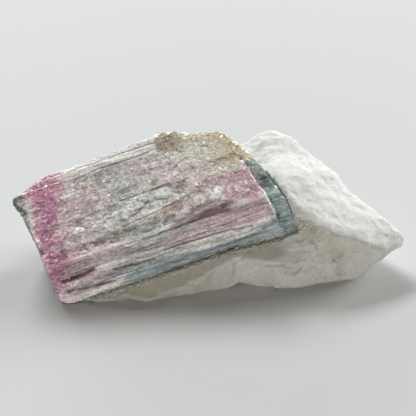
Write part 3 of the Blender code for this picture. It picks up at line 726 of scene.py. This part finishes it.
# Cracks and stained seams of the albite's front, as points in mm, then width and depth.
albiteCracks = (
    (((12.2, -15.4, 6.4), (14.0, -15.6, 6.8), (16.4, -15.5, 7.0)), 0.22, 0.3),
    (((19.0, -15.7, 5.2), (19.9, -15.8, 4.8), (22.3, -15.1, 6.2), (24.0, -14.6, 6.9)), 0.26, 0.4),
    (((27.6, -13.4, 5.6), (29.6, -12.8, 6.5), (31.4, -11.4, 7.5)), 0.22, 0.35),
    (((32.8, -10.9, 7.5), (34.6, -10.7, 7.6), (36.5, -10.6, 7.4)), 0.2, 0.3),
    (((5.2, -15.2, 4.4), (5.5, -14.8, 6.3), (7.9, -14.2, 8.8), (10.3, -13.2, 10.2)), 0.24, 0.4),
    (((8.5, -15.2, 5.4), (9.0, -15.2, 4.6), (9.2, -15.2, 3.6)), 0.2, 0.25),
    (((24.0, -12.4, 11.8), (25.2, -12.8, 10.2), (25.6, -13.2, 9.0)), 0.2, 0.2),
)
# Clusters of loose crumbs on the top: middle in mm, reach, count.
albiteSpecks = (((21.8, -9.4), 0.8, 44), ((23.8, -10.0), 1.1, 22))
# Warm stains: middle in mm, radius, strength. The two low on the front's left darken and warm its foot.
albiteStains = (
    ((24.5, -11.2, 13.6), 2.6, 0.7), ((27.9, -11.9, 10.9), 3.4, 0.5), ((21.8, -9.5, 14.6), 2.2, 0.9),
    ((26.5, -4.0, 16.0), 1.3, 0.6), ((30.6, -4.6, 14.2), 1.0, 0.8), ((33.0, -1.0, 13.0), 0.8, 0.6),
    ((24.6, -2.0, 17.0), 1.6, 0.45), ((-4.5, -18.0, 6.2), 2.0, 0.5), ((-12.0, -20.5, 4.4), 3.0, 0.35),
    ((17.8, -15.6, 5.6), 2.4, 0.45), ((31.8, -11.4, 9.4), 1.8, 0.45),
)


# The stone's lip starts level with the prism's low edge and rises gently. Says how much it was lowered.
def bevelLip(points, tree):
    places = np.arange(8.0, 60.0, 1.0)
    levels = []
    for along in places:
        start = Vector(toWorld(np.array([along, float(curve(lowerEdge, along)) + 0.9, 12.0])))
        place = tree.ray_cast(start, -axes.col[2], 20 * mm)[0]
        levels.append(toCrystal(np.array(place))[2] if place is not None else -3.0)
    own = toCrystal(points)
    aside = np.interp(own[:, 0], places, curve(lowerEdge, places)) + 0.3 - own[:, 1]
    rise = albite["lipSlope"] * np.maximum(aside, 0)
    highest = np.interp(own[:, 0], places, levels) + 0.15 + rise
    above = np.maximum(own[:, 2] - highest, 0)
    lowered = np.where((aside > -0.8) & (own[:, 0] < 59), above ** 2 / (above + 0.4), 0)
    lowered *= (1 - smoothStep(4.5, 8.0, aside)) * (1 - smoothStep(56, 59, own[:, 0]))
    own[:, 2] -= lowered
    points[:] = toWorld(own)
    return lowered


def crumbTurn(place, dice):
    size = dice.uniform(*albite["crumbSize"]) * mm
    turn = Matrix.Translation(place) @ axes.to_4x4() @ Matrix.Rotation(dice.uniform(-0.5, 0.5), 4, "Z")
    sizes = (size * dice.uniform(1.0, 2.2), size * dice.uniform(0.5, 1.0), size * 0.6, 1.0)
    return turn @ Matrix.Diagonal(sizes)


def addCrumb(shape, layers, place, kind, dice):
    made = bmesh.ops.create_icosphere(shape, subdivisions=1, radius=1.0, matrix=crumbTurn(place, dice))
    look = {"stain": dice.uniform(0.2, 0.6), "seam": 0.0, "weatheredAndShaded": dice.uniform(0.0, 0.5)}
    look["facetTone"] = dice.uniform(-1, 1)
    if kind == "gold":
        look["stain"] = 1.0
    if kind == "dark":
        look["seam"] = dice.uniform(0.5, 1.0)
        look["weatheredAndShaded"] = 1.0
    if kind == "white":
        look["stain"] = 0.1
        look["weatheredAndShaded"] = 0.0
    for vert in made["verts"]:
        for name, layer in layers.items():
            vert[layer] = look[name]


def addCrumbs(shape, crystalTree, albiteTree, dice):  # in the crease under the prism and on the stone
    layerNames = ("stain", "seam", "weatheredAndShaded", "facetTone")
    layers = {name: shape.verts.layers.float.new(name) for name in layerNames}
    for _ in range(albite["crumbs"]):
        along = dice.uniform(12, 57)
        up = float(curve(lowerEdge, along)) - 0.3 + dice.gauss(0, 0.5)
        start = Vector(toWorld(np.array([along, up, 9.0])))
        hits = [tree.ray_cast(start, -axes.col[2], 20 * mm) for tree in (crystalTree, albiteTree)]
        hits = [hit for hit in hits if hit[0] is not None]
        if hits:
            place = min(hits, key=lambda hit: hit[3])[0]
            kind = dice.choice(("white", "beige", "beige", "beige", "gold", "gold", "dark"))
            addCrumb(shape, layers, place, kind, dice)
    for (east, north), reach, count in albiteSpecks:
        for _ in range(count):
            start = Vector((east + dice.gauss(0, reach), north + dice.gauss(0, reach), 40.0)) * mm
            place = albiteTree.ray_cast(start, Vector((0, 0, -1)), 60 * mm)[0]
            if place is not None:
                kind = dice.choice(("white", "white", "beige", "gold"))
                addCrumb(shape, layers, place, kind, dice)


def makeAlbite(crystalTree):
    piece = copyNode("albite_matrix", "albiteMatrix")
    remeshPiece(piece, albite["cellSize"], Matrix.Identity(4))
    mesh = piece.data
    start = readVectors(mesh, "co")
    points = start / mm
    normals = readVectors(mesh, "normal")
    lump = layeredNoise(points, albite["lumpSize"], 201, 2)
    facetPlace = points + 0.5 * layeredNoise(points, 3, 205, 1)[:, None]
    facetDice, facetAway, _ = chips(facetPlace, albite["facetSize"], 211)
    smallDice, smallAway, _ = chips(points, albite["smallFacetSize"], 221)
    rough = 1 - 0.65 * smoothStep(0.55, 0.85, normals[:, 2])  # the top is smoother than the sides
    height = albite["lumpHeight"] * lump * (0.05 + 0.95 * rough)
    lean, smallLean = (facetDice * facetAway).sum(axis=1), (smallDice * smallAway).sum(axis=1)
    facets = albite["facetHeight"] * (0.22 * facetDice[:, 0] + 0.3 * lean)
    facets += albite["smallFacetHeight"] * (0.22 * smallDice[:, 0] + 0.5 * smallLean)
    facets -= 0.3 * smoothStep(0.5, 0.8, layeredNoise(points, 1.6, 241, 2))
    grain = albite["grainHeight"] * layeredNoise(points, albite["grainSize"], 231, 2)
    height += rough * facets + grain
    warped = points + 0.5 * np.stack([softNoise(points, 1.5, seed) for seed in (251, 252, 253)], axis=1)
    seam = np.zeros(len(points))
    for line, width, depth in albiteCracks:
        near = np.exp(-(nearLine(warped, line) / width) ** 2)
        height -= depth * near
        seam = np.maximum(seam, near)
    foot = smoothStep(0.15, 1.2, points[:, 2])  # the foot stays flat
    moved = start + normals * (height * foot)[:, None] * mm
    middle, halfLength, depth, tall = albite["undercut"]
    under = depth * np.exp(-((points[:, 0] - middle) / halfLength) ** 2)
    under = under * (1 - smoothStep(0, tall, points[:, 2]))
    moved[:, 1] += under * smoothStep(-8, -16, points[:, 1]) * mm
    moved[:, 2] = np.maximum(moved[:, 2], 0.0)
    near = closeGap(moved, crystalTree)
    lowered = bevelLip(moved, crystalTree)
    moved[:, 2] = np.maximum(moved[:, 2], 0.0)
    writePoints(mesh, moved)

    stain = np.zeros(len(points))
    for middle, radius, strength in albiteStains:
        away = np.linalg.norm(warped - np.array(middle), axis=1) / radius
        stain = np.maximum(stain, strength * (1 - smoothStep(0.3, 1.2, away)))
    middle, fadeStart, fadeEnd = albite["pepper"]
    pepper = 1 - smoothStep(fadeStart, fadeEnd, np.linalg.norm(points - np.array(middle), axis=1))
    mottle = layeredNoise(points, (1.8, 1.2, 1.2), 291, 3)
    stain = np.maximum(stain, 0.8 * pepper * smoothStep(0.1, 0.55, mottle))
    border = np.maximum(1 - smoothStep(0.3, 1.4, near), smoothStep(0.3, 1.0, lowered))
    border *= smoothStep(-0.2, 0.3, -normals[:, 1]) * (0.35 + 0.6 * smallDice[:, 0])
    stain = np.maximum(stain, border)
    vein = smoothStep(0.5, 0.72, layeredNoise(points, (4.0, 4.0, 2.2), 261, 4)) * 0.5
    # Painted shade, with some weathering: the front faces are painted darker, more so to the left, and so are
    # the back faces under the lamps behind; where the lip was lowered it is painted lighter against its
    # shade.
    weatheredAndShaded = smoothStep(0.2, 0.75, -normals[:, 1] + 0.25 * layeredNoise(points, 3.5, 271, 3))
    weatheredAndShaded *= 0.55 + 0.45 * smoothStep(12, -20, points[:, 0])
    weatheredAndShaded += 0.75 * smoothStep(0.0, 0.6, normals[:, 1] + 0.3 * layeredNoise(points, 4.5, 281, 3))
    weatheredAndShaded *= 1 - 0.3 * smoothStep(0.2, 1.5, lowered)
    paint(mesh, "weatheredAndShaded", weatheredAndShaded)
    # Painted light: the upward faces behind the front are painted paler, as where the top is lit from above.
    pale = smoothStep(-9, 8, points[:, 1] + 2 * lump) * smoothStep(0.3, 0.7, normals[:, 2])
    paint(mesh, "pale", pale)
    paint(mesh, "stain", np.maximum(stain * (0.75 + 0.5 * smallDice[:, 1]), vein * 0.6))
    paint(mesh, "seam", seam)
    paint(mesh, "facetTone", 0.5 * facetDice[:, 1] + 0.5 * smallDice[:, 2])
    crumbs = bmesh.new()
    addCrumbs(crumbs, crystalTree, treeOf(piece), random.Random(11))
    join(mesh, crumbs)
    mesh.materials.append(albiteMaterial())
    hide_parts("albite_matrix")
    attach(piece, "root")
    print("albite matrix:", len(mesh.polygons), "faces")


# Albite feldspar, broken: a white, faintly warm stone of small cleaved grains, like lump sugar.
def albiteMaterial():
    material, tree, shader = newMaterial("albite broken to small grains", albite["finish"])
    place = addNode(tree, "TexCoord", "Object")
    own = addNode(tree, "Mapping", 0, {"Vector": place, "Scale": (1000, 1000, 1000)})
    grain = addNode(tree, "TexVoronoi", "Color", {0: own, "Scale": 1.5})
    grainPart = addNode(tree, "SeparateColor", 0, {0: grain})
    cloud = addNode(tree, "TexNoise", 0, {0: own, "Scale": 0.22, "Detail": 5.0, "Roughness": 0.6})
    sugar = addNode(tree, "TexNoise", 0, {0: own, "Scale": 1.7, "Detail": 3.0, "Roughness": 0.7})
    clouded = addNode(tree, "MapRange", 0, {0: cloud, 1: 0.35, 2: 0.65})
    first, second = (linear(hexCode) for hexCode in albite["colours"])
    colour = addNode(tree, "Mix", 2, {0: clouded, 6: first, 7: second}, data_type="RGBA")
    for name, (strength, hexCode) in albite["coats"].items():
        weight = addNode(tree, "Attribute", "Fac", attribute_name=name)
        weight = addNode(tree, "Math", 0, {0: weight, 1: strength}, operation="MULTIPLY")
        colour = addNode(tree, "Mix", 2, {0: weight, 6: colour, 7: linear(hexCode)}, data_type="RGBA")
    tone = addNode(tree, "Attribute", "Fac", attribute_name="facetTone")
    toneLight = addNode(tree, "MapRange", 0, {0: tone, 1: -1, 2: 1, 3: 0.94, 4: 1.03})
    sugarLight = addNode(tree, "MapRange", 0, {0: sugar, 1: 0.3, 2: 0.7, 3: 0.88, 4: 1.06})
    light = addNode(tree, "Math", 0, {0: toneLight, 1: sugarLight}, operation="MULTIPLY")
    colour = addNode(tree, "Mix", 2, {0: 1.0, 6: colour, 7: light}, data_type="RGBA", blend_type="MULTIPLY")
    tree.links.new(colour, shader.inputs["Base Color"])
    rough = addNode(tree, "MapRange", 0, {0: grainPart, 3: 0.55, 4: 0.95})
    tree.links.new(rough, shader.inputs["Roughness"])
    bump = addNode(tree, "Bump", 0, {"Height": sugar, "Strength": 0.5, "Distance": 0.0002})
    tree.links.new(bump, shader.inputs["Normal"])
    return material


mica = {
    "cellSize": 0.3,  # mm
    "flakes": 3600,
    "flakeRadius": (0.26, 0.8),  # mm
    "flakeThickness": 0.09,
    "tilt": 25.0,  # degrees
    "levelShare": 0.25,  # of the plates, which lie level and glint
    "scaleSize": (1.6, 0.9, 0.9),
    "scaleHeight": 0.35,
    "spilled": 170,  # plates past each stretch of the border
    "colours": ("#fffdf6", "#dacda4"),  # pale to golden
    "coats": {"blush": "#efdedb", "dusk": "#a6937f"},  # pink by the tourmaline, brown in the corner
    "finish": {
        "Roughness": 0.2,
        "IOR": 1.58,
        "Specular IOR Level": 0.9,
    },
}

# The crust's border on the broken face, as points (along, up) in mm.
micaBorder = (
    ((37.2, 31.5), (38.6, 27.0), (40.5, 22.5), (41.8, 19.8)),
    ((41.5, 20.0), (46.0, 19.6), (50.0, 19.3), (54.0, 19.2)),
)


def surfaceSpots(mesh, count, dice, axis, least):  # spread by area over the faces that turn to an axis
    faces = [face for face in mesh.polygons if face.normal.dot(axis) > least]
    totals = np.cumsum([face.area for face in faces])
    picks = np.searchsorted(totals, [dice.random() * totals[-1] for _ in range(count)])
    for pick in picks:
        face = faces[min(int(pick), len(faces) - 1)]
        corners = [mesh.vertices[i].co for i in face.vertices][:3]
        first, second = dice.random(), dice.random()
        if first + second > 1:
            first, second = 1 - first, 1 - second
        spot = corners[0] + (corners[1] - corners[0]) * first + (corners[2] - corners[0]) * second
        yield spot, face.normal.copy()


def blushOf(points):  # how pink the mica is, next to the tourmaline that it grew on
    along, up = points[:, 0], points[:, 1]
    away = np.minimum(pastWall(along, up), (up - 19.5) * 1.4)
    near = 1 - smoothStep(0.5, 3.2, away + 0.9 * softNoise(points, 1.5, 321))
    return 0.8 * near * (1 - smoothStep(47, 51, along)) * (1 - 0.8 * smoothStep(23, 27, up))


def duskOf(points):  # how brown it is, in the corner by the top edge
    away = np.hypot((points[:, 0] - 39.0) / 2.9, (points[:, 1] - 29.8) / 2.3)
    return 0.85 * (1 - smoothStep(0.5, 1.5, away + 0.3 * softNoise(points, 1.5, 331)))


def flakeTurn(place, normal, radius, dice):
    isLevel = dice.random() < mica["levelShare"]
    level = dice.uniform(0.7, 1.1) if isLevel else dice.uniform(0.0, 0.5)
    normal = normal.lerp(Vector((0, 0, 1)), level)
    scatter = Vector((dice.gauss(0, 1), dice.gauss(0, 1), dice.gauss(0, 1)))
    lean = scatter * math.tan(math.radians(mica["tilt"])) * 0.6
    turn = (normal + lean).normalized().to_track_quat("Z", "Y").to_matrix().to_4x4()
    turn = Matrix.Translation(place) @ turn @ Matrix.Rotation(dice.random() * math.tau, 4, "Z")
    sizes = (radius * mm, radius * dice.uniform(0.5, 1.0) * mm, mica["flakeThickness"] * mm, 1.0)
    return turn @ Matrix.Diagonal(sizes)


def addFlakes(shape, places, dice):  # six-sided plates, each with its own lightness and warmth
    layerNames = ("gold", "blush", "dusk", "facetTone")
    layers = {name: shape.verts.layers.float.new(name) for name in layerNames}
    for place, normal, warmth in places:
        radius = dice.uniform(*mica["flakeRadius"])
        made = bmesh.ops.create_cone(shape, cap_ends=True, segments=6, radius1=1.0, radius2=0.86, depth=1.0,
                                     matrix=flakeTurn(place, normal, radius, dice))
        own = toCrystal(np.array([place]))
        look = {
            "gold": min(1.0, max(0.0, warmth + dice.uniform(-0.35, 0.35))),
            "blush": float(blushOf(own)[0]) * dice.uniform(0.4, 1.0),
            "dusk": float(duskOf(own)[0]) * dice.uniform(0.5, 1.0),
            "facetTone": dice.uniform(-1, 1),
        }
        for vert in made["verts"]:
            for name, layer in layers.items():
                vert[layer] = look[name]


def spilledFlakes(crystalTree, dice):  # plates that lie past the crust's ragged border, on the tourmaline
    places = []
    for line in micaBorder:
        for _ in range(mica["spilled"]):
            pick = dice.random() * (len(line) - 1)
            first, part = int(pick), pick - int(pick)
            along, up = (a + (b - a) * part for a, b in zip(line[first], line[first + 1]))
            start = np.array([along + dice.gauss(0, 1.1), up + dice.gauss(0, 0.8), 6.0])
            place, normal, _, _ = crystalTree.ray_cast(Vector(toWorld(start)), -axes.col[2], 12 * mm)
            if place is not None:
                places.append((place + normal * 0.05 * mm, normal, dice.uniform(-0.2, 0.35)))
    return places


def makeMica(crystalTree):
    piece = copyNode("mica_crust", "micaCrust")
    remeshPiece(piece, mica["cellSize"], Matrix.Identity(4), smooth=False)
    mesh = piece.data
    start = readVectors(mesh, "co")
    points = toCrystal(start)
    scaleDice, scaleAway, _ = chips(points, mica["scaleSize"], 301)
    height = mica["scaleHeight"] * (0.4 * scaleDice[:, 0] + 0.5 * scaleDice[:, 1] * scaleAway[:, 1])
    besideWall = pastWall(points[:, 0], points[:, 1])
    besideBlock = points[:, 1] - 19.5
    ragged = 0.6 * softNoise(points, 1.6, 311)
    height += 1.2 * (1 - smoothStep(0.2, 3.2, besideWall + ragged)) * smoothStep(-2.5, -1.5, points[:, 2])
    height += 1.5 * (1 - smoothStep(0.0, 2.6, besideBlock + ragged)) * (1 - smoothStep(53, 55, points[:, 0]))
    moved = start + readVectors(mesh, "normal") * height[:, None] * mm
    intoWall = -0.7 * (1 - smoothStep(0.5, 1.6, besideWall))  # the crust runs into what borders it
    intoBlock = -0.6 * (1 - smoothStep(0.5, 1.4, besideBlock)) * (1 - smoothStep(54, 55, points[:, 0]))
    moved += (intoWall[:, None] * axesArray[:, 0] + intoBlock[:, None] * axesArray[:, 1]) * mm
    closeGap(moved, crystalTree, 0.9, -0.05)
    writePoints(mesh, moved)
    paint(mesh, "blush", blushOf(points))
    paint(mesh, "dusk", duskOf(points))
    dice = random.Random(7)
    places = []
    for place, normal in surfaceSpots(mesh, mica["flakes"], dice, axes.col[2], 0.2):
        along, up, _ = toCrystal(np.array(place))
        warmth = smoothStep(44, 54, along) * 0.6 + smoothStep(25.5, 29, up) * 0.5
        places.append((place + normal * dice.uniform(-0.05, 0.2) * mm, normal, warmth))
    places += spilledFlakes(crystalTree, dice)
    flakes = bmesh.new()
    addFlakes(flakes, places, dice)
    join(mesh, flakes)
    mesh.materials.append(micaMaterial())
    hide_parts("mica_crust")
    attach(piece, "root")
    print("mica crust:", len(mesh.polygons), "faces")


# Mica, pale champagne: thin plates with a pearly, almost metallic gloss on their flats.
def micaMaterial():
    material, tree, shader = newMaterial("pale mica in small plates", mica["finish"])
    gold = addNode(tree, "Attribute", "Fac", attribute_name="gold")
    gold = addNode(tree, "MapRange", 0, {0: gold, 1: 0.1, 2: 0.85})
    first, second = (linear(hexCode) for hexCode in mica["colours"])
    colour = addNode(tree, "Mix", 2, {0: gold, 6: first, 7: second}, data_type="RGBA")
    for name, hexCode in mica["coats"].items():
        weight = addNode(tree, "Attribute", "Fac", attribute_name=name)
        colour = addNode(tree, "Mix", 2, {0: weight, 6: colour, 7: linear(hexCode)}, data_type="RGBA")
    tone = addNode(tree, "Attribute", "Fac", attribute_name="facetTone")
    light = addNode(tree, "MapRange", 0, {0: tone, 1: -1, 2: 1, 3: 0.96, 4: 1.12})
    colour = addNode(tree, "Mix", 2, {0: 1.0, 6: colour, 7: light}, data_type="RGBA", blend_type="MULTIPLY")
    tree.links.new(colour, shader.inputs["Base Color"])
    return material


studio = {
    "floorSize": 3.0,  # m, from its middle to its edge
    "floorFinish": {
        "Base Color": linear("#cfcfcd"),
        "Roughness": 0.9,
        "Specular IOR Level": 0.2,
    },
    "skyColour": "#fdf3e6",
    "skyStrength": 0.175,
    "lampColour": "#f7fbff",
    "lampDistance": 2.6,  # m
    "lampTarget": (0, 0, 0.01),
    "lamps": {  # degrees round from straight behind (left is minus), degrees up, width and height in m, watts
        "window": (-24, 38, 1.2, 0.6, 57.0),
        "low window": (-24, 14, 1.5, 0.7, 34.0),
        "side window": (58, 21, 1.1, 0.8, 64.0),
        "front card": (180, 4, 2.2, 0.34, 35.0),
    },
    "cameraPlace": (-0.000822, -0.312402, 0.194122),  # m
    "cameraTilt": 60,  # degrees up from looking straight down
    "focalLength": 127.16,  # mm, on a sensor 36 mm wide
}


def makeStage():
    shape = bmesh.new()
    bmesh.ops.create_grid(shape, x_segments=1, y_segments=1, size=studio["floorSize"])
    mesh = bpy.data.meshes.new("floor")
    shape.to_mesh(mesh)
    shape.free()
    floor = bpy.data.objects.new("floor", mesh)
    bpy.context.scene.collection.objects.link(floor)
    mesh.materials.append(newMaterial("pale matte card", studio["floorFinish"])[0])
    print("floor")


def makeLights():
    scene = bpy.context.scene
    for name, (around, upward, width, height, watts) in studio["lamps"].items():
        light = bpy.data.lights.new(name, "AREA")
        light.shape = "RECTANGLE"
        light.size = width
        light.size_y = height
        light.energy = watts
        light.color = linear(studio["lampColour"])[:3]
        lamp = bpy.data.objects.new(name, light)
        turn = Matrix.Rotation(math.radians(-around), 3, "Z") @ Matrix.Rotation(math.radians(upward), 3, "X")
        lamp.location = turn @ Vector((0, studio["lampDistance"], 0))
        aim = Vector(studio["lampTarget"]) - lamp.location
        lamp.rotation_euler = aim.to_track_quat("-Z", "Y").to_euler()
        scene.collection.objects.link(lamp)
    world = bpy.data.worlds.new("studio")
    world.use_nodes = True
    sky = world.node_tree.nodes["Background"]
    sky.inputs["Color"].default_value = linear(studio["skyColour"])
    sky.inputs["Strength"].default_value = studio["skyStrength"]
    scene.world = world
    scene.view_settings.view_transform = "Standard"
    print("lights:", len(studio["lamps"]))


def makeCamera():
    lens = bpy.data.cameras.new("camera")
    lens.sensor_width = 36
    lens.lens = studio["focalLength"]
    lens.clip_start = 0.01
    camera = bpy.data.objects.new("camera", lens)
    camera.location = studio["cameraPlace"]
    camera.rotation_euler = (math.radians(studio["cameraTilt"]), 0, 0)
    bpy.context.scene.collection.objects.link(camera)
    bpy.context.scene.camera = camera
    print("camera")


makeStage()
makeLights()
makeCamera()
crystal = makeCrystal()
crystalTree = treeOf(crystal)
makeAlbite(crystalTree)
makeMica(crystalTree)
